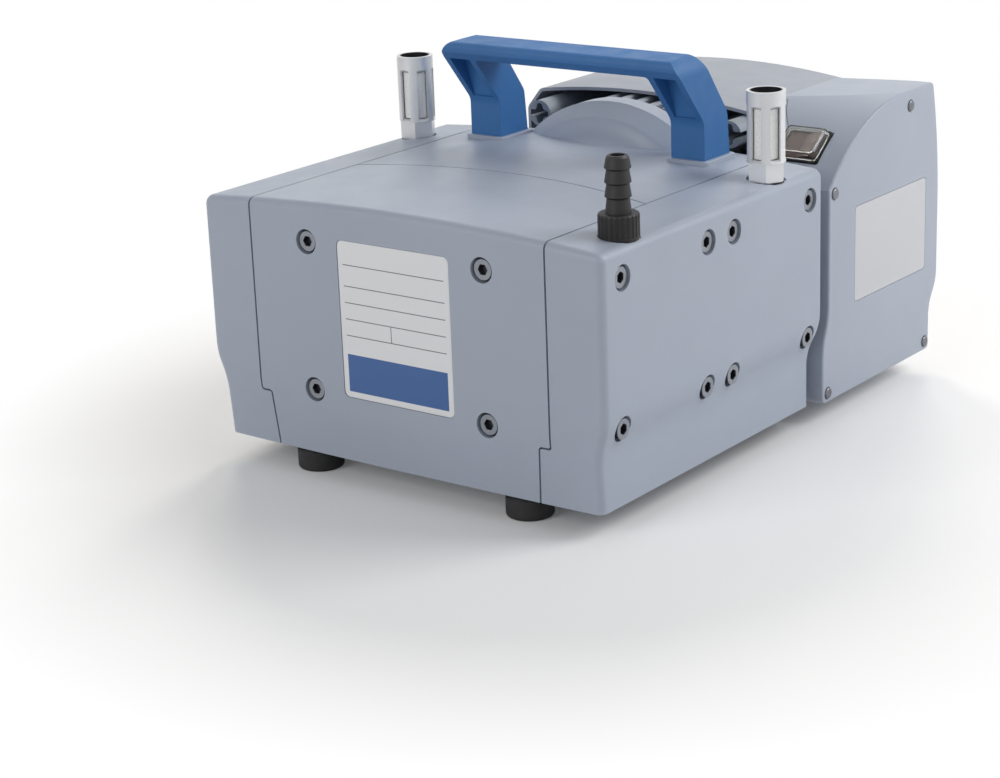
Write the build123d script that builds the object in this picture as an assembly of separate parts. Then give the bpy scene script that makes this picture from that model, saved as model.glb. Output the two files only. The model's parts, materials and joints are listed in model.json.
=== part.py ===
from build123d import *
from math import atan, degrees, sqrt
import os

os.makedirs("parts", exist_ok=True)

# Frame: X to the right, Y from the nameplate to the fan grille, Z up from the floor, in mm

# Overall size over the covers, and up to the top of the handle
overall_length = 325.0
overall_width = 243.0
overall_height = 198.0
front_y = -overall_length / 2
rear_y = overall_length / 2
side_x = overall_width / 2

# Heights above the floor
shaft_height = 88.0
block_bottom = 12.5
block_top = 143.0
crown_rise = 5.3
crown_radius = (side_x**2 + crown_rise**2) / (2 * crown_rise)

# Pump block: places along Y, from the front face back
head_screw_pitch = 72.0
head_plate_size = head_screw_pitch + 16.0
head_pitch = head_plate_size + 7.0
head_front_margin = 52.1
head_rear_margin = 49.4
head_centres = (front_y + head_front_margin, front_y + head_front_margin + head_pitch)
block_rear = head_centres[1] + head_rear_margin

# Tuck of the covers towards the floor
side_tuck = 5.0
tuck_low = 35.0
tuck_high = 63.0
front_slope = 0.08
front_bulge_radius = 4150.0
corner_radius = 5.0
edge_radius = 4.0

# Parting line between the middle of the block and its head covers
head_cover_depth = 31.5
seam_x = side_x - head_cover_depth
seam_gap = 1.0
seam_step = 6.5
seam_step_height = 41.0
seam_foot_x = seam_x - 10.0
seam_corner_radius = 1.5

# Cross groove between the front cover and the crankcase on top
groove_side_y = front_y + 82.0
groove_middle_y = front_y + 94.0
groove_width = 1.0

# Clearances
sliding = 0.3
running = 0.05
seat = 0.1

# Shell thicknesses
front_cover_wall = 3.2
skirt_wall = 4.0
hood_wall = 1.8
box_wall = 2.5
box_cover_thickness = 2.0
box_cover_edge = 1.2

# Socket head screws, M6
screw_radius = 3.0
screw_head_radius = 5.0
screw_head_height = 6.0
screw_hex_across = 5.0
screw_hex_depth = 3.0
counterbore_radius = 6.3
counterbore_depth = screw_head_height + 1.2
screw_clearance = screw_radius + 0.3
screw_tapped = screw_radius + running
screw_engagement = 9.0

# Pump heads
head_plate_thickness = 14.0
head_plate_corner = 8.0
diaphragm_thickness = 2.5
diaphragm_radius = head_screw_pitch * sqrt(0.5) - screw_radius - 4.4
chamber_radius = diaphragm_radius - 9.5
chamber_floor_radius = chamber_radius - 7.0
flange_inset = 12.0
flange_x = seam_x - flange_inset
plate_inner_x = flange_x + diaphragm_thickness
plate_outer_x = plate_inner_x + head_plate_thickness
valve_offset = 13.0
valve_port_radius = 4.5
valve_disc_radius = 8.0
valve_disc_thickness = 1.0
valve_pocket_depth = 2.0

# Crank drive
eccentricity = 3.5
shaft_radius = 8.5
journal_radius = shaft_radius + eccentricity + 0.5
rod_inner_ring_radius = journal_radius + 4.0
rod_bearing_radius = rod_inner_ring_radius + 9.5
rod_width = 14.0
rod_spacing = 15.0
rod_eye_wall = 5.0
rod_arm_height = 22.0
clamp_radius = chamber_radius - 12.0
clamp_thickness = 3.0
chamber_depth = eccentricity + clamp_thickness + sliding + 0.9
support_thickness = 6.0
clamp_stud_radius = 4.0
clamp_stud_length = 14.0
bearing_radius = 20.0
bearing_inner_radius = 11.5
bearing_width = 12.0
counterweight_radius = 34.0
counterweight_thickness = 8.0
counterweight_hub = 13.0

# Crankcase casting
crankcase_front = front_y + 12.0
crankcase_rear = block_rear - 11.5
crankcase_wall = 11.5
crank_bore_radius = 38.0
crankcase_low = 40.0
crankcase_high = block_top - 9.0
rail_width = 22.0
base_thickness = 4.0
base_low = block_bottom + 0.5
base_high = base_low + base_thickness
front_screw_x = seam_x - 36.3
front_screw_heights = (46.7, 122.2)
front_boss_radius = 8.0

# Motor, from its domed flange back to the fan
flange_radius = head_screw_pitch / 2 + 39.0
flange_thickness = 14.0
flange_rear = crankcase_rear + flange_thickness
seam_chamfer = 0.5
dome_length = 20.0
dome_foot_radius = flange_radius - 21.5
dome_ridge_radius = flange_radius - 7.0
dome_band = 8.3
housing_front = flange_rear + 5.5
housing_rear = rear_y - 34.5
housing_inner_radius = 58.0
housing_outer_radius = housing_inner_radius + 5.5
fin_reach = housing_outer_radius + 4.5
short_fin_reach = housing_outer_radius - 3.5
tall_fins_each_side = 2
fin_hood_gap = 1.0
fin_pitch = 10.0
fin_thickness = 4.5
fin_edge_radius = 1.5
fins_each_side = 4
channel_x = housing_outer_radius - 2.5
channel_z = housing_outer_radius - 4.0
channel_radius = 7.2
channel_bore = 3.6
channel_lobe = 2.1
stator_bore = 33.0
air_gap = 0.5
winding_length = 11.0
winding_outer = housing_inner_radius - 4.0
winding_inner = stator_bore + 4.0
stator_margin = 18.0
end_shield_thickness = 14.0
fan_gap = 2.0
fan_width = 12.0
fan_radius = 54.0
fan_hub_radius = 14.0
fan_blades = 9
fan_blade_thickness = 2.2
fan_plate_thickness = 2.0

# Fan hood
hood_front = block_rear + 23.0
hood_side = side_x - 41.5
hood_shoulder = 147.0
hood_left_top = (9.0 - hood_side, 158.0)
hood_crown = (-8.0, 162.5)
hood_right_top = (hood_side - 14.0, 156.6)
hood_low = 14.0
hood_corner = 5.0
grille_radius = 52.0
grille_pitch = 8.0
grille_slot = 4.5
grille_bar = 6.0
grille_slots_each_side = 6

# Terminal box and its flat side cover
box_front = block_rear + 8.2
box_low = 11.0
box_top = 160.8
box_left_top_x = hood_side - 25.0
box_top_fall = 3.6
box_curve_length = 79.0
box_curve_radius = 103.0
box_front_tuck = 6.0
box_rear_tuck = 8.5
box_joint_gap = 0.4
box_screw_radius = 1.5
box_screw_head_radius = 3.0
box_screw_head_height = 1.6
box_screw_stand = 1.0
box_face_x = side_x - box_screw_stand
box_inner_face_x = box_face_x - box_cover_thickness
box_screw_inset = 5.2
box_upper_screw_height = 121.5
label_length = 78.0
label_height = 51.0
label_thickness = 0.5
label_centre_from_front = 66.0
label_centre_height = 84.4

# Mains switch on the curved front of the box
switch_along_curve = 0.285
switch_centre_x = hood_side + 14.0
switch_width = 26.0
switch_height = 22.0
switch_flange = 1.8
switch_body_width = 22.4
switch_body_height = 18.4
switch_body_depth = 18.0
switch_window_width = 20.6
switch_window_height = 16.6
switch_seat_depth = 1.2
rocker_half_width = 9.5
rocker_height = 16.0
rocker_tilt = 9.0
rocker_pivot_depth = 1.5
rocker_pin_radius = 1.2
rocker_pin_reach = 0.7
splash_cover_wall = 1.0
splash_cover_height = 4.6
splash_cover_edge = 0.9

# Mains inlet on the rear of the box
inlet_x = hood_side + 21.0
inlet_height = 74.0
inlet_flange_width = 29.0
inlet_flange_height = 22.0
inlet_flange_thickness = 2.5
inlet_body_width = 27.0
inlet_body_height = 19.5
inlet_body_depth = 18.0
inlet_socket_width = 22.6
inlet_socket_height = 15.6
inlet_socket_depth = 16.0
inlet_pin_length = 10.0
inlet_pin_pitch = 7.0
inlet_recess = 1.0

# Run capacitor in the box
capacitor_radius = 16.0
capacitor_length = 72.0

# Nameplate
nameplate_width = 68.0
nameplate_height = 79.0
nameplate_centre_height = shaft_height - 1.9
nameplate_thickness = 0.5
nameplate_pocket = 0.8
nameplate_corner = 3.0

# Handle
handle_half_width = seam_x - 16.0
leg_width = 20.0
leg_front_y = block_rear - 36.4
leg_depth = 23.6
handle_lean = 24.0
pad_height = block_top + 0.5
pad_margin = 2.5
pad_edge = 0.4
knee_front_height = 163.0
knee_back_height = 165.3
knee_radius = 8.0
grip_thickness = 10.0
grip_top_fall = 1.2
grip_front_face = 5.0
grip_edge_radius = 3.5
grip_lip_radius = 1.0
handle_corner_radius = 10.0
handle_hole_radius = 2.0
channel_width = 13.0
channel_depth = 12.0
stud_below = 10.0
stud_above = 18.0

# Ports and fittings on the head covers
port_x = side_x - 11.0
silencer_y = head_centres[1] + 11.9
nozzle_y = front_y + 30.0
port_face = block_top - crown_radius + sqrt(crown_radius**2 - port_x**2) - 1.2
port_spot_radius = 10.0
port_thread_radius = 6.4
port_depth = 12.0
port_duct_radius = 3.5
cross_duct_radius = 3.0
seal_thickness = 1.0
seal_radius = 9.0

# Exhaust silencers
silencer_height = 45.0
silencer_radius = 9.8
silencer_bore = 7.6
silencer_foot_height = 9.5
silencer_foot_across = 17.0
silencer_slots = 6
silencer_slot_height = 25.0
silencer_slot_width = 5.7
silencer_slot_low = 11.5
silencer_slot_scoop = 2.2
silencer_foot_edge = 0.6
insert_wall = 2.2
insert_above_slots = 1.2

# Hose nozzle for hose of 10 mm bore
nozzle_height = 38.0
nozzle_collar_radius = 9.65
nozzle_collar_height = 11.6
nozzle_neck_radius = 5.3
nozzle_tip_radius = 4.5
nozzle_collar_edge = 1.2
nozzle_grooves = 24
nozzle_groove_radius = 0.7
nozzle_barb_radius = 6.25
nozzle_barbs = 4
nozzle_bore_radius = 3.3

# Feet
foot_x = hood_side - 14.0
foot_front_y = front_y + 15.0
foot_rear_y = rear_y - 34.0
foot_radius = 11.75
foot_bore_radius = 6.0
foot_bore_depth = 5.0
foot_top_chamfer = 3.0


def save(name, shape):
    """Write one named piece, or a group of like pieces, to its own file."""
    solids = shape.solids()
    export_step(solids[0] if len(solids) == 1 else Compound(children=list(solids)), f"parts/{name}.step")


def span(x, y, z):
    """Box between two limits on each axis."""
    size = Box(x[1] - x[0], y[1] - y[0], z[1] - z[0])
    return Pos((x[0] + x[1]) / 2, (y[0] + y[1]) / 2, (z[0] + z[1]) / 2) * size


def along_x(section, x0, x1):
    """Extrude a section drawn in Y and Z from x0 to x1."""
    return Pos(x0, 0, 0) * extrude(Plane.YZ * section, amount=x1 - x0)


def along_y(section, y0, y1):
    """Extrude a section drawn in X and Z from y0 to y1."""
    return Pos(0, y0, 0) * extrude(Plane.XZ * section, amount=y0 - y1)


def along_z(section, z0, z1):
    """Extrude a section drawn in X and Y from z0 to z1."""
    return Pos(0, 0, z0) * extrude(section, amount=z1 - z0)


def cylinder_x(radius, x0, x1, y=0.0, z=0.0):
    return Pos((x0 + x1) / 2, y, z) * Rot(0, 90, 0) * Cylinder(radius, abs(x1 - x0))


def cylinder_y(radius, y0, y1, x=0.0, z=0.0):
    return Pos(x, (y0 + y1) / 2, z) * Rot(90, 0, 0) * Cylinder(radius, abs(y1 - y0))


def cylinder_z(radius, z0, z1, x=0.0, y=0.0):
    return Pos(x, y, (z0 + z1) / 2) * Cylinder(radius, abs(z1 - z0))


def turned(outline):
    """Turn an outline of radius and height about the Z axis."""
    return revolve(Plane.XZ * outline, axis=Axis.Z)


def ogee(start, end, tangent):
    """Two equal arcs from start to end that leave and arrive along the same direction."""
    middle = ((start[0] + end[0]) / 2, (start[1] + end[1]) / 2)
    first = TangentArc(start, middle, tangent=tangent)
    second = TangentArc(middle, end, tangent=first % 1)
    return first.edges() + second.edges()


def rounded_rectangle(width, height, radius):
    return RectangleRounded(width, height, radius)


# Pump block outline


def block_top_at(x):
    """Height of the crowned top at x."""
    return block_top - crown_radius + sqrt(crown_radius**2 - x**2)


def block_section(inset, bottom):
    """Cross-section of the whole pump block with its tucked sides and crowned top."""
    side = side_x - inset
    tucked = side - side_tuck
    shoulder = block_top - crown_rise - inset
    edges = list(Line((-tucked, bottom), (tucked, bottom)).edges())
    edges += ThreePointArc((-side, shoulder), (0, block_top - inset), (side, shoulder)).edges()
    for mirror_sign in (1, -1):
        foot = (mirror_sign * tucked, bottom)
        low = (mirror_sign * tucked, tuck_low)
        high = (mirror_sign * side, tuck_high)
        edges += Line(foot, low).edges()
        edges += ogee(low, high, (0, 1))
        edges += Line(high, (mirror_sign * side, shoulder)).edges()
    face = make_face(edges)
    top_corners = face.vertices().filter_by(lambda v: abs(v.Y - shoulder) < 0.01)
    return fillet(top_corners, max(corner_radius - inset, 1.0))


def block_side_profile(inset, bottom):
    """Outline in Y and Z that tucks the rear face in towards the floor."""
    rear = block_rear - inset
    front = front_y + inset
    tucked = rear - side_tuck
    high = block_top + 10.0
    outline = Polyline(
        (tucked, tuck_low),
        (tucked, bottom),
        (front, bottom),
        (front, high),
        (rear, high),
        (rear, tuck_high),
    )
    edges = list(outline.edges())
    edges += ogee((tucked, tuck_low), (rear, tuck_high), (0, 1))
    return make_face(edges)


def front_roller(inset):
    """Very large leaning cylinder whose surface takes the lower front back in a shallow bulge."""
    lean = degrees(atan(front_slope))
    pivot = Pos(0, front_y + inset, tuck_low) * Rot(lean, 0, 0)
    return pivot * Pos(0, front_bulge_radius, 0) * Cylinder(front_bulge_radius, 4 * block_top)


def rim_edges(body, face_y):
    """Edges round the front or rear face of the block, without the bottom one."""
    reach = edge_radius + 2.0
    rim = body.edges().filter_by(lambda e: abs(e.center().Y - face_y) < reach)
    rim = rim.filter_by(lambda e: e.center().Z > block_bottom + 1.0)
    return rim.filter_by(lambda e: abs(e.center().X) > seam_x or e.center().Z > block_top - 2 * edge_radius)


def block_envelope(inset=0.0, bottom=block_bottom):
    """Solid outline of the pump block, which the covers and the casting share."""
    body = along_y(block_section(inset, bottom), front_y + inset, block_rear - inset)
    body = body & along_x(block_side_profile(inset, bottom), -side_x, side_x)
    return body & front_roller(inset)


def rounded_envelope():
    """The outline with the rims of its front and rear faces rounded."""
    body = block_envelope()
    body = fillet(rim_edges(body, front_y), edge_radius)
    return fillet(rim_edges(body, block_rear), edge_radius)


def middle_section(gap):
    """Section of the middle of the block, between the stepped parting lines."""
    step_x = seam_x - seam_step
    right = [
        (seam_foot_x, -block_bottom),
        (step_x, seam_step_height),
        (seam_x, seam_step_height),
        (seam_x, 2 * block_top),
    ]
    left = [(-x, z) for x, z in reversed(right)]
    face = make_face(Polyline(*right, *left, close=True).edges())
    steps = face.vertices().filter_by(lambda v: abs(v.Y - seam_step_height) < 0.01)
    return offset(fillet(steps, seam_corner_radius), gap)


def front_zone(shift):
    """Plan of what lies ahead of the cross groove, with its rear edge moved by shift."""
    wide = 2 * side_x
    side_y = groove_side_y + shift
    middle_y = groove_middle_y + shift
    ahead = front_y - wide
    edges = list(ThreePointArc((-seam_x, side_y), (0, middle_y), (seam_x, side_y)).edges())
    round_the_front = Polyline(
        (seam_x, side_y),
        (wide, side_y),
        (wide, ahead),
        (-wide, ahead),
        (-wide, side_y),
        (-seam_x, side_y),
    )
    edges += round_the_front.edges()
    return along_z(make_face(edges), -block_top, 2 * block_top)


# Socket head screws


def socket_screw(length):
    """Socket head screw along +Z, with the top of its head at zero and its shank below."""
    head = cylinder_z(screw_head_radius, -screw_head_height, 0)
    socket = along_z(RegularPolygon(screw_hex_across / 2, 6, major_radius=False), -screw_hex_depth, 1)
    shank = cylinder_z(screw_radius, -screw_head_height - length, -screw_head_height)
    return head + shank - socket


def head_screw_places():
    """Y and Z of the eight screws on each side of the block."""
    half = head_screw_pitch / 2
    corners = [(dy, dz) for dy in (-half, half) for dz in (-half, half)]
    return [(y + dy, shaft_height + dz) for y in head_centres for dy, dz in corners]


def front_screw_places():
    return [(x, z) for x in (-front_screw_x, front_screw_x) for z in front_screw_heights]


def screws_on_side(side):
    """The eight screws of one head cover."""
    outer = side_x - (counterbore_depth - screw_head_height)
    shank = outer - screw_head_height - (flange_x - screw_engagement)
    turn = Rot(0, 90, 0)
    screws = [Pos(outer, y, z) * turn * socket_screw(shank) for y, z in head_screw_places()]
    return [screw if side > 0 else mirror(screw, about=Plane.YZ) for screw in screws]


def front_screws():
    outer = front_y + counterbore_depth - screw_head_height
    shank = crankcase_front + screw_engagement - outer - screw_head_height
    turn = Rot(90, 0, 0)
    return [Pos(x, outer, z) * turn * socket_screw(shank) for x, z in front_screw_places()]


# Covers of the pump block


def head_cover(envelope):
    """Right-hand head cover, with recesses for its head plates, its ports and its screws."""
    cover = envelope - along_y(middle_section(seam_gap / 2), front_y - 1, block_rear + 1)
    cover = max(cover.solids(), key=lambda solid: solid.center().X)
    half = head_plate_size / 2 + sliding
    recess_z = (shaft_height - half, shaft_height + half)
    for y in head_centres:
        cover = cover - span((0, plate_outer_x + seat), (y - half, y + half), recess_z)
    skirt = block_envelope(skirt_wall, -block_bottom)
    cover = cover - (skirt & span((0, side_x), (front_y, block_rear), (-block_bottom, crankcase_low)))
    for y, z in head_screw_places():
        cover = cover - cylinder_x(screw_clearance, 0, side_x + 1, y, z)
        cover = cover - cylinder_x(counterbore_radius, side_x - counterbore_depth, side_x + 1, y, z)
    return cover


def with_port(cover, side, y):
    """Cover with the spot face, threaded hole and drilled ducts for one fitting on its top."""
    x = side * port_x
    low = port_face - port_depth
    duct_height = low - port_duct_radius - 1.0
    duct_floor = duct_height - port_duct_radius - 0.5
    duct_x = sorted((side * (plate_outer_x - 1), x))
    cover = cover - cylinder_z(port_spot_radius, port_face, block_top + 1, x, y)
    cover = cover - cylinder_z(port_thread_radius + running, low, port_face + 1, x, y)
    cover = cover - cylinder_z(port_duct_radius, duct_floor, low + 1, x, y)
    return cover - cylinder_x(cross_duct_radius, *duct_x, y, duct_height)


def front_cover(envelope):
    """Thin cover over the front and the forward top of the crankcase."""
    shell = envelope - block_envelope(front_cover_wall, -block_bottom)
    shell = shell & along_y(middle_section(-seam_gap / 2), front_y - 1, block_rear + 1)
    shell = shell & front_zone(0)
    behind = front_y + front_cover_wall + 3
    top_back = span((-seam_x, seam_x), (behind, block_rear), (-block_bottom, crankcase_high))
    cover = shell - top_back
    inside = front_y + front_cover_wall / 2
    for x, z in front_screw_places():
        cover = cover + cylinder_y(front_boss_radius, inside, crankcase_front, x, z)
    for x, z in front_screw_places():
        cover = cover - cylinder_y(screw_clearance, front_y - 1, crankcase_front + 1, x, z)
        cover = cover - cylinder_y(counterbore_radius, front_y - 1, front_y + counterbore_depth, x, z)
    width = nameplate_width + 2 * sliding
    height = nameplate_height + 2 * sliding
    pocket = rounded_rectangle(width, height, nameplate_corner)
    pocket = along_y(pocket, front_y - 1, front_y + nameplate_pocket)
    return cover - Pos(0, 0, nameplate_centre_height) * pocket


def nameplate():
    plate = rounded_rectangle(nameplate_width, nameplate_height, nameplate_corner)
    back = front_y + nameplate_pocket
    return Pos(0, 0, nameplate_centre_height) * along_y(plate, back - nameplate_thickness, back)


# Crankcase


def dome_front():
    """Cast cove that rises from the flat top to a ridge, and the band from there to the motor flange."""
    foot_y = crankcase_rear - dome_length
    foot = (dome_foot_radius, foot_y)
    ridge = (dome_ridge_radius, crankcase_rear - dome_band)
    rim = (flange_radius, crankcase_rear - seam_chamfer)
    seam = (flange_radius - seam_chamfer, crankcase_rear)
    cove = TangentArc(foot, ridge, tangent=(0.34, 0.94))
    core = crank_bore_radius
    closing = Polyline(ridge, rim, seam, (core, crankcase_rear), (core, foot_y), foot)
    face = make_face(list(cove.edges()) + list(closing.edges()))
    ring = revolve(face, axis=Axis.Y)
    return Pos(0, 0, shaft_height) * ring


def crankcase(envelope):
    """Casting with the crank space, four head flanges, the crowned top and the dome to the motor."""
    length = (crankcase_front, crankcase_rear)
    block = span((-flange_x, flange_x), length, (crankcase_low, crankcase_high))
    top = envelope & along_y(middle_section(-seam_gap / 2), front_y, block_rear)
    top = top & span((-seam_x, seam_x), (front_y, block_rear), (crankcase_high, 2 * block_top))
    top = top - front_zone(groove_width)
    dome = dome_front() & span((-side_x, side_x), (front_y, block_rear), (crankcase_high, 3 * block_top))
    ear_rear = head_centres[1] + head_plate_size / 2
    case = block + top + dome
    for ear_x in ((-flange_x, -dome_foot_radius), (dome_foot_radius, flange_x)):
        case = case + span(ear_x, (crankcase_rear - 1, ear_rear), (crankcase_low, crankcase_high))
    for side in (-1, 1):
        rail = span((flange_x - rail_width, flange_x), length, (base_high, crankcase_low))
        case = case + (rail if side > 0 else mirror(rail, about=Plane.YZ))
        case = case + Pos(side * leg_centre_x(), 0, 0) * handle_pad()
    bore_front = crankcase_front + crankcase_wall
    case = case - cylinder_y(crank_bore_radius, bore_front, crankcase_rear, 0, shaft_height)
    seat_low = crankcase_front + crankcase_wall - bearing_width + 2.0
    case = case - cylinder_y(bearing_radius + running, seat_low, crankcase_rear, 0, shaft_height)
    for y in head_centres:
        case = case - cylinder_x(chamber_radius, -side_x, side_x, y, shaft_height)
    depth = screw_engagement + 1.0
    for y, z in head_screw_places():
        for side in (-1, 1):
            case = case - cylinder_x(screw_tapped, side * (flange_x - depth), side * side_x, y, z)
    for x, z in front_screw_places():
        case = case - cylinder_y(screw_tapped, crankcase_front - 1, crankcase_front + depth, x, z)
    case = case - cylinder_y(flange_radius + sliding, crankcase_rear, block_rear + 1, 0, shaft_height)
    for x, y in stud_places():
        case = case - cylinder_z(screw_tapped, pad_height - stud_below, pad_height + 1, x, y)
    return case


# Handle


def leg_centre_x():
    return handle_half_width - leg_width / 2


def stud_places():
    """X and Y of the studs that hold the handle."""
    near = leg_front_y + leg_depth / 4
    far = leg_front_y + 3 * leg_depth / 4
    return [(side * leg_centre_x(), y) for side in (-1, 1) for y in (near, far)]


def handle_pad():
    """Low raised pad under one foot of the handle."""
    width = leg_width + 2 * pad_margin
    depth = leg_depth + 2 * pad_margin
    pad = along_z(rounded_rectangle(width, depth, pad_margin), crankcase_high, pad_height)
    pad = chamfer(pad.edges().filter_by(lambda e: e.center().Z > pad_height - 0.1), pad_edge)
    return Pos(0, leg_front_y + leg_depth / 2, 0) * pad


def handle():
    """One-piece handle: two legs that stand up, lean forward and meet in a flat grip."""
    back_y = leg_front_y + leg_depth
    front_top = overall_height - grip_top_fall
    lean_front = leg_front_y - handle_lean
    lean_back = back_y - handle_lean - 2.0
    side_profile = make_face(
        Polyline(
            (leg_front_y, pad_height),
            (leg_front_y, knee_front_height),
            (lean_front, front_top - grip_front_face),
            (lean_front, front_top),
            (lean_back, overall_height),
            (back_y - 2.0, knee_back_height),
            (back_y, pad_height),
            close=True,
        ).edges()
    )
    lip = front_top - grip_front_face
    knees = side_profile.vertices().filter_by(lambda v: pad_height + 1 < v.Y < lip - 1)
    side_profile = fillet(knees, knee_radius)
    rims = side_profile.vertices().filter_by(lambda v: v.Y > lip + 1)
    side_profile = fillet(rims, grip_edge_radius)
    lips = side_profile.vertices().filter_by(lambda v: abs(v.Y - lip) < 0.1)
    side_profile = fillet(lips, grip_lip_radius)
    body = along_x(side_profile, -handle_half_width, handle_half_width)
    hole_half = handle_half_width - leg_width
    hole_high = overall_height - grip_thickness
    hole = Rectangle(2 * hole_half, 2 * (hole_high - pad_height))
    hole = fillet(hole.vertices(), handle_hole_radius)
    body = body - Pos(0, 0, pad_height) * along_y(hole, front_y, rear_y)
    outline = Rectangle(2 * handle_half_width, 2 * (overall_height - pad_height))
    outline = fillet(outline.vertices(), handle_corner_radius)
    body = body & (Pos(0, 0, pad_height) * along_y(outline, front_y, rear_y))
    for side in (-1, 1):
        body = body - Pos(side * leg_centre_x(), 0, 0) * leg_channel()
    for x, y in stud_places():
        body = body - cylinder_z(screw_tapped, pad_height - 1, pad_height + stud_above + 1, x, y)
    return body


def leg_channel():
    """Channel in the leaning front of a leg, which runs out at the knee."""
    low = (leg_front_y - 1.0, knee_front_height + 2.0)
    high_z = overall_height - grip_thickness
    slope = handle_lean / (overall_height - grip_top_fall - grip_front_face - knee_front_height)
    front_at_high = leg_front_y - slope * (high_z - knee_front_height)
    floor_high = (front_at_high + channel_depth, high_z)
    outside = (front_at_high - handle_lean, high_z)
    outside_low = (leg_front_y - handle_lean, knee_front_height + 2.0)
    profile = make_face(Polyline(low, floor_high, outside, outside_low, close=True).edges())
    return along_x(profile, -channel_width / 2, channel_width / 2)


def handle_studs():
    return [
        cylinder_z(screw_radius, pad_height - stud_below, pad_height + stud_above, x, y)
        for x, y in stud_places()
    ]


# Pump heads, drawn on the right-hand side about their own centre


def place_head(piece, side, y):
    """Put a piece drawn for the right-hand side on one of the four heads."""
    piece = piece if side > 0 else mirror(piece, about=Plane.YZ)
    return Pos(0, y, shaft_height) * piece


def turned_x(outline):
    """Turn an outline of height and radius, with height along X, about the X axis."""
    return revolve(outline, axis=Axis.X)


def head_plate():
    """Valve plate with a dished chamber, two ports, two valve pockets and four screw holes."""
    plate = Rectangle(head_plate_size, head_plate_size)
    plate = along_x(fillet(plate.vertices(), head_plate_corner), plate_inner_x, plate_outer_x)
    floor_x = plate_inner_x + chamber_depth
    dish = Polyline(
        (plate_inner_x - 1, 0),
        (plate_inner_x - 1, chamber_radius),
        (plate_inner_x, chamber_radius),
        (floor_x, chamber_floor_radius),
        (floor_x, 0),
        close=True,
    )
    plate = plate - turned_x(make_face(dish.edges()))
    pocket_x = plate_outer_x - valve_pocket_depth
    for y in (-valve_offset, valve_offset):
        plate = plate - cylinder_x(valve_port_radius, plate_inner_x, plate_outer_x + 1, y, 0)
        plate = plate - cylinder_x(valve_disc_radius + sliding, pocket_x, plate_outer_x + 1, y, 0)
    half = head_screw_pitch / 2
    for y in (-half, half):
        for z in (-half, half):
            hole = cylinder_x(screw_clearance, plate_inner_x - 1, plate_outer_x + 1, y, z)
            plate = plate - hole
    return plate


def valve_discs():
    """Inlet and outlet valve of one head."""
    low = plate_outer_x - valve_pocket_depth
    high = low + valve_disc_thickness
    return [cylinder_x(valve_disc_radius, low, high, y, 0) for y in (-valve_offset, valve_offset)]


def diaphragm(lift):
    """Diaphragm clamped at its rim, with its middle carried out by lift."""
    back = flange_x
    front = flange_x + diaphragm_thickness
    hole = clamp_stud_radius + sliding
    rim = Polyline(
        (back, chamber_radius),
        (back, diaphragm_radius),
        (front, diaphragm_radius),
        (front, chamber_radius),
    )
    middle = Polyline(
        (front + lift, clamp_radius),
        (front + lift, hole),
        (back + lift, hole),
        (back + lift, clamp_radius),
    )
    edges = list(rim.edges()) + list(middle.edges())
    edges += flex_line(front, lift) + flex_line(back, lift)
    return turned_x(make_face(edges))


def flex_line(x, lift):
    """Slack fold of the diaphragm between its clamped rim and its middle."""
    rim = (x, chamber_radius)
    middle = (x + lift, clamp_radius)
    return list(ogee(rim, middle, (0, -1)))


def clamp_disc(lift):
    """Clamping disc in the chamber, with the stud that goes through the diaphragm into the rod."""
    low = flange_x + diaphragm_thickness + lift + sliding
    disc = cylinder_x(clamp_radius, low, low + clamp_thickness)
    disc = fillet(disc.edges().filter_by(lambda e: e.center().X > low + 1), 1.2)
    return disc + cylinder_x(clamp_stud_radius, low - clamp_stud_length, low + 0.5)


def connecting_rod(lift, crank, rod_y):
    """Rod with its eye on the journal and its support disc behind the diaphragm."""
    eye_radius = rod_bearing_radius + rod_eye_wall
    front = rod_y - rod_width / 2
    rear = rod_y + rod_width / 2
    half_height = rod_arm_height / 2
    face = flange_x + lift - sliding
    eye = cylinder_y(eye_radius, front, rear, crank, 0)
    arm = span((crank + rod_bearing_radius, face - 2), (front, rear), (-half_height, half_height))
    foot = cylinder_x(clamp_radius, face - support_thickness, face)
    boss = cylinder_x(clamp_stud_radius + 6.0, face - clamp_stud_length, face)
    rod = eye + arm + foot + boss
    rod = rod - cylinder_y(rod_bearing_radius + running, front - 1, rear + 1, crank, 0)
    return rod - cylinder_x(clamp_stud_radius + running, face - clamp_stud_length - 1, face + 1)


def ring_y(outer, inner, y0, y1, x=0.0, z=0.0):
    return cylinder_y(outer, y0, y1, x, z) - cylinder_y(inner, y0 - 1, y1 + 1, x, z)


# Shaft and its bearings


def bearing_places():
    """Front end of each shaft bearing along Y."""
    front = crankcase_front + crankcase_wall - bearing_width + 2.0
    middle = flange_rear - bearing_width
    rear = housing_rear + end_shield_thickness - bearing_width - 1.0
    return (front, middle, rear)


def throws():
    """Centre along Y and offset along X of the two eccentric throws."""
    return ((head_centres[0], eccentricity), (head_centres[1], -eccentricity))


def fan_front():
    return housing_rear + end_shield_thickness + fan_gap


def crankshaft():
    """Shaft of pump and motor, with two eccentric journals half a turn apart."""
    start = bearing_places()[0]
    end = fan_front() + fan_width + 1.0
    shaft = cylinder_y(shaft_radius, start, end)
    shaft = chamfer(shaft.edges().filter_by(GeomType.CIRCLE), 1.0)
    for y, x in throws():
        half = rod_spacing / 2 + rod_width / 2 + 1.0
        shaft = shaft + cylinder_y(journal_radius, y - half, y + half, x, 0)
    return Pos(0, 0, shaft_height) * shaft


def counterweight(y, direction):
    """Sector weight opposite to its throw."""
    hub = Circle(counterweight_hub)
    half_plane = Rectangle(2 * counterweight_radius - 2 * shaft_radius, 1.5 * counterweight_radius)
    sector = Circle(counterweight_radius) & Pos(direction * counterweight_radius, 0) * half_plane
    plate = along_y(hub + sector, y, y + counterweight_thickness)
    plate = plate - cylinder_y(shaft_radius + running, y - 1, y + counterweight_thickness + 1)
    return Pos(0, 0, shaft_height) * plate


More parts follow.
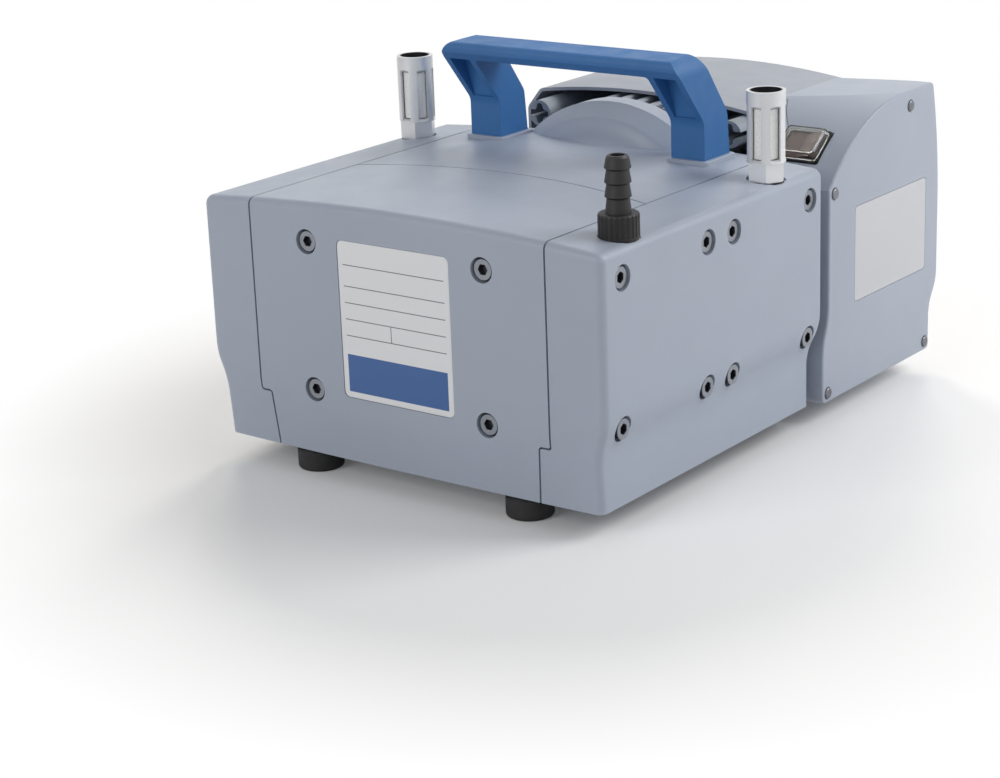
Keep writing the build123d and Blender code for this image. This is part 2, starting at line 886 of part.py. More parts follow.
def counterweights():
    front = bearing_places()[0] + bearing_width + 1.0
    rear = crankcase_rear - counterweight_thickness - 3.0
    return [counterweight(front, -1), counterweight(rear, 1)]


def inner_rings():
    """Inner rings of the shaft bearings and of the four rod bearings."""
    rings = [
        ring_y(bearing_inner_radius, shaft_radius + running, y, y + bearing_width, 0, shaft_height)
        for y in bearing_places()
    ]
    bore = journal_radius + running
    for y, x in throws():
        for offset_y in (-rod_spacing / 2, rod_spacing / 2):
            low = y + offset_y - rod_width / 2
            rings.append(ring_y(rod_inner_ring_radius, bore, low, low + rod_width, x, shaft_height))
    return rings


def shaft_bearings():
    """Outer rings with their seals, which stay in the housings."""
    return [
        ring_y(bearing_radius, bearing_inner_radius + running, y, y + bearing_width, 0, shaft_height)
        for y in bearing_places()
    ]


# Motor


def motor_flange():
    """Round flange between crankcase and motor, with the rim that shows as the dome."""
    flange = cylinder_y(flange_radius, crankcase_rear, flange_rear, 0, 0)
    rear_rim = flange.edges().filter_by(lambda e: e.center().Y > flange_rear - 1)
    flange = fillet(rear_rim, 3.0)
    front_rim = flange.edges().filter_by(lambda e: e.center().Y < crankcase_rear + 1)
    flange = chamfer(front_rim.filter_by(GeomType.CIRCLE), seam_chamfer)
    bore = housing_inner_radius - 8.0
    spigot = ring_y(housing_inner_radius - running, bore, flange_rear - 1, housing_front + 6.0)
    collar = ring_y(housing_outer_radius, bore, flange_rear - 1, housing_front)
    flange = flange + spigot + collar
    flange = flange - cylinder_y(bearing_radius + running, bearing_places()[1], flange_rear + 1)
    flange = flange - cylinder_y(shaft_radius + 1.0, crankcase_rear - 1, flange_rear + 1)
    flange = Pos(0, 0, shaft_height) * flange
    return flange - span((-side_x, side_x), (front_y, rear_y), (0, base_high + sliding))


def fin_positions():
    return [fin_pitch * i for i in range(-fins_each_side, fins_each_side + 1)]


def top_fin_reach(x):
    """The middle fins end under the hood's roof, and the outer ones are short."""
    if abs(x) > tall_fins_each_side * fin_pitch:
        return short_fin_reach
    return hood_roof(x) - hood_wall - fin_hood_gap - shaft_height


def hood_roof(x):
    """Height of the hood's roof above a place between its two upper corners."""
    corner = hood_left_top if x < hood_crown[0] else hood_right_top
    share = (x - hood_crown[0]) / (corner[0] - hood_crown[0])
    return hood_crown[1] + share * (corner[1] - hood_crown[1])


def motor_housing():
    """Extruded housing with cooling fins on four sides and open screw channels in its corners."""
    section = Circle(housing_outer_radius)
    for x in fin_positions():
        root = sqrt(housing_inner_radius**2 - x**2)
        reaches = {0: top_fin_reach(x), 90: fin_reach, 180: shaft_height - base_high, 270: fin_reach}
        for turn, high in reaches.items():
            fin = rounded_rectangle(fin_thickness, high - root, fin_edge_radius)
            section = section + Rot(0, 0, turn) * Pos(x, (root + high) / 2) * fin
    corners = [(sx, sz) for sx in (-1, 1) for sz in (-1, 1)]
    for sx, sz in corners:
        section = section + Pos(sx * channel_x, sz * channel_z) * Circle(channel_radius)
        web = Rot(0, 0, sx * sz * 45) * Rectangle(20, 6)
        section = section + Pos(sx * 0.8 * channel_x, sz * 0.8 * channel_z) * web
    section = section - Circle(housing_inner_radius)
    for sx, sz in corners:
        section = section - Pos(sx * channel_x, sz * channel_z) * screw_channel(sx)
    return Pos(0, 0, shaft_height) * along_y(section, housing_front, housing_rear)


def screw_channel(outward):
    """Opening of a screw channel: a three-lobed hole that is open to the side of the housing."""
    opening = Circle(channel_bore)
    for angle in (90, -90, 180):
        lobe = Pos(channel_bore, 0) * Circle(channel_lobe)
        opening = opening + Rot(0, 0, angle if outward > 0 else angle + 180) * lobe
    return opening + Pos(outward * channel_radius, 0) * Rectangle(2 * channel_radius, channel_bore)


def stator_span():
    return housing_front + stator_margin, housing_rear - stator_margin


def stator_core():
    low, high = stator_span()
    return ring_y(housing_inner_radius - running, stator_bore, low, high, 0, shaft_height)


def stator_windings():
    """End windings on both faces of the core."""
    low, high = stator_span()
    half = winding_length / 2
    section = rounded_rectangle(winding_outer - winding_inner, winding_length, 3.0)
    ring = Rot(90, 0, 0) * turned(Pos((winding_outer + winding_inner) / 2, 0) * section)
    return [Pos(0, y, shaft_height) * ring for y in (low - half, high + half)]


def rotor():
    low, high = stator_span()
    return ring_y(stator_bore - air_gap, shaft_radius + running, low - 2, high + 2, 0, shaft_height)


def motor_end_shield():
    """Rear end shield with the bearing seat and a spigot in the housing."""
    shield = cylinder_y(housing_outer_radius, housing_rear, housing_rear + end_shield_thickness)
    spigot = housing_inner_radius - running
    shield = shield + ring_y(spigot, spigot - 6.0, housing_rear - 5.0, housing_rear + 1)
    shield = shield - cylinder_y(bearing_radius + running, bearing_places()[2], fan_front())
    shield = shield - cylinder_y(shaft_radius + 1.0, housing_rear - 1, fan_front())
    return Pos(0, 0, shaft_height) * shield


def cooling_fan():
    """Radial fan with straight blades on a back plate."""
    front = fan_front()
    fan = cylinder_y(fan_hub_radius, front, front + fan_width)
    fan = fan + cylinder_y(fan_radius, front, front + fan_plate_thickness)
    blade_reach = (fan_hub_radius - 1, fan_radius - 1)
    blade = span(blade_reach, (front, front + fan_width), (0, fan_blade_thickness))
    for i in range(fan_blades):
        fan = fan + Rot(0, i * 360 / fan_blades, 0) * blade
    fan = fan - cylinder_y(shaft_radius + running, front - 1, front + fan_width + 1)
    return Pos(0, 0, shaft_height) * fan


# Fan hood


def hood_outline(grow=0.0):
    """Section of the hood: upright sides, leaning shoulders and a crowned top."""
    edges = list(ThreePointArc(hood_left_top, hood_crown, hood_right_top).edges())
    edges += Polyline(
        hood_left_top,
        (-hood_side, hood_shoulder),
        (-hood_side, hood_low),
        (hood_side, hood_low),
        (hood_side, hood_shoulder),
        hood_right_top,
    ).edges()
    face = make_face(edges)
    shoulders = face.vertices().filter_by(lambda v: v.Y > hood_low + 1)
    face = fillet(shoulders, hood_corner)
    return offset(face, grow) if grow else face


def fan_hood():
    """Shell over the motor and fan, open to the front and below, with a slotted rear wall."""
    shell = along_y(hood_outline(), hood_front, rear_y)
    rear_rim = shell.edges().filter_by(lambda e: abs(e.center().Y - rear_y) < 0.1)
    shell = fillet(rear_rim.filter_by(lambda e: e.center().Z > hood_low + 1), 4.0)
    inside = (hood_front - 1, rear_y - hood_wall)
    half = hood_side - hood_wall
    shell = shell - along_y(hood_outline(-hood_wall), *inside)
    shell = shell - span((-half, half), inside, (0, shaft_height))
    for i in range(-grille_slots_each_side, grille_slots_each_side + 1):
        shell = shell - grille_slots(i * grille_pitch)
    for y, z in hood_screw_places():
        shell = shell - cylinder_x(box_screw_radius + running, -hood_side - 1, 1 - half, y, z)
    return shell


def grille_slots(x):
    """The slot above and the slot below the grille's middle bar at one place."""
    reach = sqrt(grille_radius**2 - x**2)
    width = (x - grille_slot / 2, x + grille_slot / 2)
    wall = (rear_y - 2 * hood_wall, rear_y + 1)
    above = span(width, wall, (shaft_height + grille_bar / 2, shaft_height + reach))
    below = span(width, wall, (shaft_height - reach, shaft_height - grille_bar / 2))
    return above + below


def hood_screw_places():
    """Y and Z of the screws that hold the hood's left side to the base plate."""
    height = base_high + 5.0
    return [(hood_front + 16.0, height), (rear_y - 22.0, height)]


def pan_screw(length):
    """Small pan head screw along +Z, with its head above zero and its shank below."""
    head = cylinder_z(box_screw_head_radius, 0, box_screw_head_height)
    head = fillet(head.edges().filter_by(lambda e: e.center().Z > 1), 0.8)
    return head + cylinder_z(box_screw_radius, -length, 0)


def hood_screws():
    screw = Rot(0, -90, 0) * pan_screw(6.0)
    return [Pos(-hood_side, y, z) * screw for y, z in hood_screw_places()]


def base_plate():
    """Tray under crankcase and motor that carries the feet and the lower edge of the hood."""
    half = hood_side - hood_wall - sliding
    thickness = (base_low, base_high)
    rear_part = (hood_front + 2, rear_y - 5)
    plate = span((2 - flange_x, flange_x - 2), (front_y + 2 * front_cover_wall, rear_y - 5), thickness)
    plate = plate + span((-half, half), rear_part, thickness)
    flange = span((half - 3.0, half), rear_part, (base_low, base_high + 12))
    plate = plate + flange + mirror(flange, about=Plane.YZ)
    for x, y in foot_places():
        plate = plate - cylinder_z(screw_tapped, base_low - 1, base_high + 1, x, y)
    for y, z in hood_screw_places():
        plate = plate - cylinder_x(box_screw_radius + running, -half - 1, -half + 6, y, z)
    for y in (housing_front + 24, (housing_front + housing_rear) / 2, housing_rear - 24):
        plate = plate - span((-40, 40), (y - 5, y + 5), (base_low - 1, base_high + 1))
    return plate


def foot_places():
    return [(x, y) for x in (-foot_x, foot_x) for y in (foot_front_y, foot_rear_y)]


def rubber_feet():
    feet = []
    for x, y in foot_places():
        foot = cylinder_z(foot_radius, 0, base_low)
        foot = fillet(foot.edges().filter_by(lambda e: e.center().Z < 1), 1.5)
        foot = chamfer(foot.edges().filter_by(lambda e: e.center().Z > base_low - 1), foot_top_chamfer)
        foot = foot - cylinder_z(foot_bore_radius, -1, foot_bore_depth)
        foot = foot - cylinder_z(screw_radius + running, 0, base_low + 1)
        feet.append(Pos(x, y, 0) * foot)
    return feet


def foot_screws():
    head_low = foot_bore_depth - 3.0
    screws = []
    for x, y in foot_places():
        head = cylinder_z(screw_head_radius, head_low, foot_bore_depth, x, y)
        screws.append(head + cylinder_z(screw_radius, foot_bore_depth, base_high, x, y))
    return screws


# Terminal box


def box_curve():
    """Curved front of the box, an arc from its foot up and back to the flat top."""
    centre = (box_front + box_curve_length, box_top - box_curve_radius)
    foot = (box_front, centre[1] + sqrt(box_curve_radius**2 - box_curve_length**2))
    half_length = box_curve_length / 2
    middle = (box_front + half_length, centre[1] + sqrt(box_curve_radius**2 - half_length**2))
    return ThreePointArc(foot, middle, (centre[0], box_top))


def box_outline():
    """Side profile of the terminal box."""
    curve = box_curve()
    top_end = (rear_y - 8.0, box_top)
    widest = (rear_y, shaft_height)
    edges = list(curve.edges())
    edges += Line(curve @ 1, top_end).edges()
    edges += ThreePointArc(top_end, (rear_y - 2.1, 128.0), widest).edges()
    edges += Line(widest, (rear_y, 55.0)).edges()
    heel = (rear_y - box_rear_tuck, 30.0)
    toe = (box_front - box_front_tuck, tuck_low)
    edges += ogee((rear_y, 55.0), heel, (0, -1))
    edges += Polyline(heel, (heel[0], box_low), (toe[0], box_low), toe).edges()
    edges += ogee(toe, (box_front, tuck_high), (0, 1))
    edges += Line((box_front, tuck_high), curve @ 0).edges()
    face = make_face(edges)
    corners = face.vertices().filter_by(lambda v: v.Y < box_low + 1)
    corners += face.vertices().filter_by(lambda v: v.Y > box_top - 1 and v.X > rear_y - 20)
    return fillet(corners, 3.0)


def switch_plane():
    """Seat of the switch: X to the right, local Y up the slope, local Z out of the curved front."""
    curve = box_curve()
    point = curve @ switch_along_curve
    direction = curve % switch_along_curve
    origin = Vector(switch_centre_x, point.X, point.Y)
    normal = Vector(0, -direction.Y, direction.X)
    return Plane(origin=origin - normal * switch_seat_depth, x_dir=(1, 0, 0), z_dir=normal)


def upright(width, height, depth_low, depth_high, radius=0.0):
    """Plate with its width along X and its height along Y, between two depths along Z."""
    section = Rectangle(width, height)
    if radius:
        section = fillet(section.vertices(), radius)
    return along_z(section, depth_low, depth_high)


def inlet_plane():
    """Seat of the mains inlet on the rear of the box."""
    seat_y = rear_y - inlet_recess - inlet_flange_thickness
    return Plane(origin=(inlet_x, seat_y, inlet_height), x_dir=(-1, 0, 0), z_dir=(0, 1, 0))


def opening(width, height, gap, low, high):
    """Cutting shape for a rectangular piece with an even gap round it."""
    return upright(width + 2 * gap, height + 2 * gap, low, high)


def terminal_box():
    """Box beside the hood, open to the right, with seats for the switch and the inlet."""
    outline = box_outline()
    body = along_x(outline, box_left_top_x, box_inner_face_x)
    slope = box_top_fall / (side_x - box_left_top_x)
    wedge = Plane(origin=(side_x, 0, box_top + 0.4), x_dir=(1, 0, slope), z_dir=(-slope, 0, 1))
    above = span((-side_x, side_x), (housing_rear - 60, 2 * rear_y), (0, box_top))
    body = body - wedge.location * above
    body = body - along_y(hood_outline(box_joint_gap), front_y, 2 * rear_y)
    left = hood_side + box_joint_gap
    body = body - span((0, left), (front_y, 2 * rear_y), (0, hood_shoulder))
    body = body - along_x(offset(outline, -box_wall), left + box_wall, side_x)
    seat_place = switch_plane().location
    body = body - seat_place * opening(switch_width, switch_height, sliding, 0, 20)
    body = body + seat_place * switch_frame_wall()
    hole_low = -switch_body_depth - 2.0
    body = body - seat_place * opening(switch_body_width, switch_body_height, seat, hole_low, 20)
    inlet_place = inlet_plane().location
    rim = opening(inlet_flange_width, inlet_flange_height, 2.0, -box_wall, inlet_flange_thickness)
    body = body + inlet_place * rim
    body = body - inlet_place * opening(inlet_flange_width, inlet_flange_height, sliding, 0, 10)
    body = body - inlet_place * opening(inlet_body_width, inlet_body_height, seat, -10, 10)
    for y, z in box_screw_places():
        post = cylinder_x(3.4, left + box_wall / 2, box_inner_face_x, y, z)
        body = body + (post & along_x(outline, left, box_inner_face_x))
        body = body - cylinder_x(box_screw_radius + running, box_inner_face_x - 11, side_x + 1, y, z)
    return body


def switch_frame_wall():
    """Backing under the flat seat of the switch, where the curved wall would be cut thin."""
    return upright(switch_width + 1.0, switch_height + 1.0, -box_wall, 0)


def box_screw_places():
    """Y and Z of the screws of the side cover."""
    lower = box_low + box_screw_inset
    return [
        (box_front + box_screw_inset, box_upper_screw_height),
        (box_front + 86.0, box_top - 8.3),
        (box_front - box_front_tuck + box_screw_inset, lower),
        (rear_y - box_rear_tuck - box_screw_inset, lower),
    ]


def terminal_box_cover():
    """Flat side cover of the box, with sunk places for its screws."""
    cover = along_x(box_outline(), box_inner_face_x, box_face_x)
    rim = cover.faces().sort_by(Axis.X)[-1].edges()
    cover = fillet(rim, box_cover_edge)
    head_x = side_x - box_screw_head_height
    for y, z in box_screw_places():
        cover = cover - cylinder_x(box_screw_radius + sliding, box_inner_face_x - 1, side_x, y, z)
        cover = cover - cylinder_x(box_screw_head_radius + sliding, head_x, side_x, y, z)
    return cover


def terminal_box_screws():
    screw = Pos(side_x - box_screw_head_height, 0, 0) * Rot(0, 90, 0) * pan_screw(9.0)
    return [Pos(0, y, z) * screw for y, z in box_screw_places()]


def label_place():
    return Pos(0, box_front + label_centre_from_front, label_centre_height)


def side_label():
    plate = rounded_rectangle(label_length, label_height, 2.0)
    return label_place() * along_x(plate, box_face_x - label_thickness, box_face_x)


def label_pocket():
    plate = rounded_rectangle(label_length + 2 * sliding, label_height + 2 * sliding, 2.0)
    return label_place() * along_x(plate, box_face_x - label_thickness, side_x + 1)


def rocker_pins(radius, half_length):
    """Round pins of the rocker's pivot, along the slope of the box."""
    return Pos(0, 0, -rocker_pivot_depth) * cylinder_y(radius, -half_length, half_length)


def switch_frame():
    """Flanged housing of the switch with a well for the rocker and holes for its pins."""
    flange = upright(switch_width, switch_height, 0, switch_flange, 2.0)
    body = upright(switch_body_width, switch_body_height, -switch_body_depth, 0.5)
    well = upright(switch_window_width, switch_window_height, -8, switch_flange + 1)
    holes = rocker_pins(rocker_pin_radius + running, switch_body_height)
    return switch_plane().location * (flange + body - well - holes)


def switch_rocker():
    """Rocker with a dished top and two pivot pins, tipped to its off position."""
    half = rocker_half_width
    top = switch_flange + 0.9
    right = [(half, top), (half - 0.5, -2.5), (3, -6)]
    left = [(-x, z) for x, z in reversed(right)]
    profile = make_face(Polyline((0, top - 1.6), *right, *left, close=True).edges())
    rocker = along_y(profile, -rocker_height / 2, rocker_height / 2)
    rocker = rocker + rocker_pins(rocker_pin_radius, switch_window_height / 2 + rocker_pin_reach)
    to_pivot = Pos(0, 0, -rocker_pivot_depth)
    tipped = to_pivot * Rot(0, -rocker_tilt, 0) * to_pivot.inverse() * rocker
    return switch_plane().location * tipped


def switch_cover():
    """Clear splash cover over the rocker, on the flange of the switch."""
    outer = tapered_cap(0.0, splash_cover_height)
    outer = chamfer(outer.faces().sort_by(Axis.Z)[-1].edges(), splash_cover_edge)
    inner = tapered_cap(splash_cover_wall, splash_cover_height - splash_cover_wall)
    return switch_plane().location * Pos(0, 0, switch_flange + seat) * (outer - inner)


def tapered_cap(inset, height):
    """Block that narrows from its foot to its top."""
    width = switch_width - 2 * inset
    depth = switch_height - 2 * inset
    low = rounded_rectangle(width - 1.6, depth - 1.6, 2.0)
    high = rounded_rectangle(width - 3.4, depth - 3.6, 2.0)
    return loft([low, Pos(0, 0, height) * high])


def mains_inlet():
    """Three-pin appliance inlet with its socket open to the rear."""
    flange = upright(inlet_flange_width, inlet_flange_height, 0, inlet_flange_thickness, 1.5)
    body = upright(inlet_body_width, inlet_body_height, -inlet_body_depth, 0.5)
    floor = inlet_flange_thickness - inlet_socket_depth
    socket = upright(inlet_socket_width, inlet_socket_height, floor, inlet_flange_thickness + 1, 2.0)
    inlet = flange + body - socket
    for x, y in ((-inlet_pin_pitch, -1.5), (0, 2.5), (inlet_pin_pitch, -1.5)):
        pin = Pos(x, y, floor + inlet_pin_length / 2 - 0.5) * Box(2.0, 4.0, inlet_pin_length + 1)
        inlet = inlet + pin
    return inlet_plane().location * inlet


def run_capacitor():
    low = box_low + box_wall
    x = hood_side + box_joint_gap + box_wall + capacitor_radius + seat
    y = box_front + 38.0
    can = cylinder_z(capacitor_radius, low, low + capacitor_length, x, y)
    return fillet(can.edges().filter_by(lambda e: e.center().Z > low + 1), 2.0)


# Fittings on the head covers


def silencer(x):
    """Slotted body with a hexagon foot and a threaded stub."""
    low = port_face + seal_thickness
    high = low + silencer_height
    foot_top = low + silencer_foot_height
    body = cylinder_z(silencer_radius, foot_top, high)
    hexagon = RegularPolygon(silencer_foot_across / 2, 6, major_radius=False)
    rounded = cylinder_z(silencer_radius, low, foot_top + 1)
    rounded = chamfer(rounded.edges().filter_by(GeomType.CIRCLE), silencer_foot_edge)
    body = body + (along_z(hexagon, low, foot_top + 1) & rounded)
    body = body + cylinder_z(port_thread_radius, port_face - port_depth + 2, low + 1)
    body = body - cylinder_z(silencer_bore, foot_top, high + 1)
    body = body - cylinder_z(port_duct_radius, 0, high)
    for i in range(silencer_slots):
        body = body - Rot(0, 0, (i + 0.5) * 360 / silencer_slots) * silencer_slot(low)
    return Pos(x, silencer_y, 0) * body


def silencer_slot(low):
    """Slot with ends that run out in a slope, as a milling cutter leaves them."""
    bottom = low + silencer_slot_low
    top = bottom + silencer_slot_height
    inner = silencer_bore - 2.0
    outer = silencer_radius + 1.0
    profile = Polyline(
        (inner, bottom),
        (silencer_bore, bottom),
        (outer, bottom - silencer_slot_scoop),
        (outer, top + silencer_slot_scoop),
        (silencer_bore, top),
        (inner, top),
        close=True,
    )
    return along_y(make_face(profile.edges()), -silencer_slot_width / 2, silencer_slot_width / 2)


def silencer_insert(x):
    """Sintered tube inside the slots of a silencer."""
    low = port_face + seal_thickness + silencer_foot_height
    slot_low = port_face + seal_thickness + silencer_slot_low
    high = slot_low + silencer_slot_height + insert_above_slots
    outer = silencer_bore - seat
    tube = cylinder_z(outer, low, high) - cylinder_z(outer - insert_wall, low - 1, high + 1)
    return Pos(x, silencer_y, 0) * tube


def hose_nozzle():
    """Barbed nozzle with a grooved round collar and a threaded stub."""
    low = port_face + seal_thickness
    collar_top = low + nozzle_collar_height
    top = low + nozzle_height
    pitch = (top - collar_top) / nozzle_barbs
    collar = cylinder_z(nozzle_collar_radius, low, collar_top)
    body = fillet(collar.edges().filter_by(lambda e: e.center().Z > low + 1), nozzle_collar_edge)
    groove = cylinder_z(nozzle_groove_radius, low + 1, collar_top + 1, nozzle_collar_radius + 0.3, 0)
    for i in range(nozzle_grooves):
        body = body - Rot(0, 0, i * 360 / nozzle_grooves) * groove
    outline = [(0, collar_top - 1)]
    for i in range(nozzle_barbs):
        z = collar_top + i * pitch
        outline.append((nozzle_barb_radius, z - 1.0 if i == 0 else z + 0.14 * pitch))
        outline.append((nozzle_neck_radius, z + pitch))
    outline[-1] = (nozzle_neck_radius, top - nozzle_barb_radius + nozzle_neck_radius)
    outline.append((nozzle_tip_radius, top))
    outline.append((0, top))
    body = body + turned(make_face(Polyline(*outline, close=True).edges()))
    body = body + cylinder_z(port_thread_radius, port_face - port_depth + 2, low + 1)
    body = body - cylinder_z(nozzle_bore_radius, 0, top + 1)
    return Pos(port_x, nozzle_y, 0) * body


def port_places():
    return [(port_x, nozzle_y), (port_x, silencer_y), (-port_x, silencer_y)]


def port_seals():
    seal = cylinder_z(seal_radius, port_face, port_face + seal_thickness)
    seal = seal - cylinder_z(port_thread_radius + seat, 0, block_top)
    return [Pos(x, y, 0) * seal for x, y in port_places()]


# Build


envelope = rounded_envelope()
right_cover = head_cover(envelope)
left_cover = mirror(right_cover, about=Plane.YZ)
right_cover = with_port(with_port(right_cover, 1, nozzle_y), 1, silencer_y)
left_cover = with_port(left_cover, -1, silencer_y)

save("head_cover_right", right_cover)
save("head_cover_left", left_cover)
save("front_cover", front_cover(envelope))
save("crankcase", crankcase(envelope))
save("nameplate", nameplate())
save("front_cover_screws", Compound(children=front_screws()))
save("head_cover_screws", Compound(children=screws_on_side(1) + screws_on_side(-1)))

heads = {"front_right": (1, 0), "front_left": (-1, 0), "rear_right": (1, 1), "rear_left": (-1, 1)}
valves = []
for name, (side, row) in heads.items():
    y, crank = throws()[row]
    lift = side * crank
    rod_y = -side * rod_spacing / 2
    save(f"head_plate_{name}", place_head(head_plate(), side, y))
    save(f"diaphragm_{name}", place_head(diaphragm(lift), side, y))
    save(f"clamp_disc_{name}", place_head(clamp_disc(lift), side, y))
    save(f"connecting_rod_{name}", place_head(connecting_rod(lift, side * crank, rod_y), side, y))
    low = y + rod_y - rod_width / 2
    bore = rod_inner_ring_radius + running
    bearing = ring_y(rod_bearing_radius, bore, low, low + rod_width, crank, shaft_height)
    save(f"rod_bearing_{name}", bearing)
    valves += [place_head(disc, side, y) for disc in valve_discs()]
save("valve_discs", Compound(children=valves))

save("crankshaft", crankshaft())
save("bearing_inner_rings", Compound(children=inner_rings()))
save("shaft_bearings", Compound(children=shaft_bearings()))
save("counterweights", Compound(children=counterweights()))

save("motor_flange", motor_flange())
save("motor_housing", motor_housing())
save("stator_core", stator_core())
save("stator_windings", Compound(children=stator_windings()))
save("rotor", rotor())
save("motor_end_shield", motor_end_shield())
save("cooling_fan", cooling_fan())
save("fan_hood", fan_hood())
save("hood_screws", Compound(children=hood_screws()))
save("base_plate", base_plate())
save("rubber_feet", Compound(children=rubber_feet()))
save("foot_screws", Compound(children=foot_screws()))

save("terminal_box", terminal_box())
save("terminal_box_cover", terminal_box_cover() - label_pocket())
save("terminal_box_screws", Compound(children=terminal_box_screws()))
save("side_label", side_label())
save("switch_frame", switch_frame())
save("switch_rocker", switch_rocker())
save("switch_cover", switch_cover())
save("mains_inlet", mains_inlet())
save("run_capacitor", run_capacitor())

save("handle", handle())
save("handle_studs", Compound(children=handle_studs()))
save("silencer_right", silencer(port_x))
save("silencer_left", silencer(-port_x))
save("silencer_inserts", Compound(children=[silencer_insert(port_x), silencer_insert(-port_x)]))
save("hose_nozzle", hose_nozzle())
save("port_seals", Compound(children=port_seals()))
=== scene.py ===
"""Looks of the diaphragm vacuum pump: materials, light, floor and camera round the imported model."""

import json
from math import radians

import bpy
from mathutils import Matrix, Vector


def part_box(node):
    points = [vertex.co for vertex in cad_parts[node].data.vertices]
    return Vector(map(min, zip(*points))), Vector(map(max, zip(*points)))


MM = 0.001

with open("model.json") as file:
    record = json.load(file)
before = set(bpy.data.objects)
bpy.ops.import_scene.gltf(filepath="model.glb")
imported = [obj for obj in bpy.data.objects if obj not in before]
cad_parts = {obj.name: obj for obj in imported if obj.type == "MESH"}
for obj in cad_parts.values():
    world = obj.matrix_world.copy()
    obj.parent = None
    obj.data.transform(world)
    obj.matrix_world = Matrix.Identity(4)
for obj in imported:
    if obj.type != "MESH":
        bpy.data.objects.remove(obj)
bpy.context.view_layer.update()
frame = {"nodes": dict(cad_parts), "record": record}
nodes = frame["nodes"]


def srgb(red, green, blue):
    """Linear colour of a colour written in 0 to 255."""
    linear = []
    for value in (red, green, blue):
        share = value / 255
        linear.append(share / 12.92 if share <= 0.04045 else ((share + 0.055) / 1.055) ** 2.4)
    return tuple(linear)


# Driving values

white = (1.0, 1.0, 1.0)
turning_marks = (1.0, 1.0, 12.0)

# Socket screws: painted shade in the socket and on the head's side; depths behind the face where the
# painted shade starts and is full
screw_face = srgb(146, 150, 158)
screw_painted_shade = srgb(84, 86, 92)
painted_shade_start = 0.3 * MM
painted_shade_end = 0.9 * MM

# Silencers: painted shade inside the bore; the wall's inner edge, from fully dark to bright, as shares of
# the body's radius
silencer_bright = srgb(222, 224, 227)
silencer_bore_painted_shade = srgb(46, 47, 50)
painted_shade_edge_shares = (0.80, 0.86)

# Nameplate, in shares of its size: rules from the top, divider from the left, blue field from below
plate_white = srgb(232, 233, 236)
plate_rule = srgb(96, 98, 104)
plate_blue = srgb(52, 98, 160)
plate_margin = 3.0 * MM
rule_half_width = 0.22 * MM
rule_shares = (0.150, 0.285, 0.390, 0.495, 0.600)
divider_share = 0.46
blue_field_share = 0.28

# Floor: in the camera's sight it fades from fade_near to white past each centre's radius
floor_size = 12.0
floor_grey = (0.88, 0.88, 0.88)
fade_centres = (((0.0, 0.0, 0.0), 0.21), ((0.06, -0.12, 0.0), 0.17))
fade_width = 0.12
fade_near = 0.05

# Light: place in metres, side in metres, power in watts
world_strength = 0.30
warm = (1.0, 0.94, 0.86)
light_target = (0, 0, 0.08)
key_light = ((0.95, 0.6, 0.95), 0.8, 10.8)
fill_light = ((-0.5, -2.1, 1.1), 1.2, 13.5)
back_lights = {"back": (-0.68, 1.81, 1.13), "back_left": (-1.42, 1.29, 1.16)}
back_light_side = 0.5
back_light_power = 12.5

# Camera: angles in degrees, the target and its offset in camera axes in metres
camera_azimuth = 37.7
camera_elevation = 18.0
camera_roll = -2.2
camera_target = (0, 0, 0.08)
camera_offset = (0.0477, 0.0665, -1.2633)
camera_lens = 85.8
camera_sensor = 36.0


# Node tree helpers


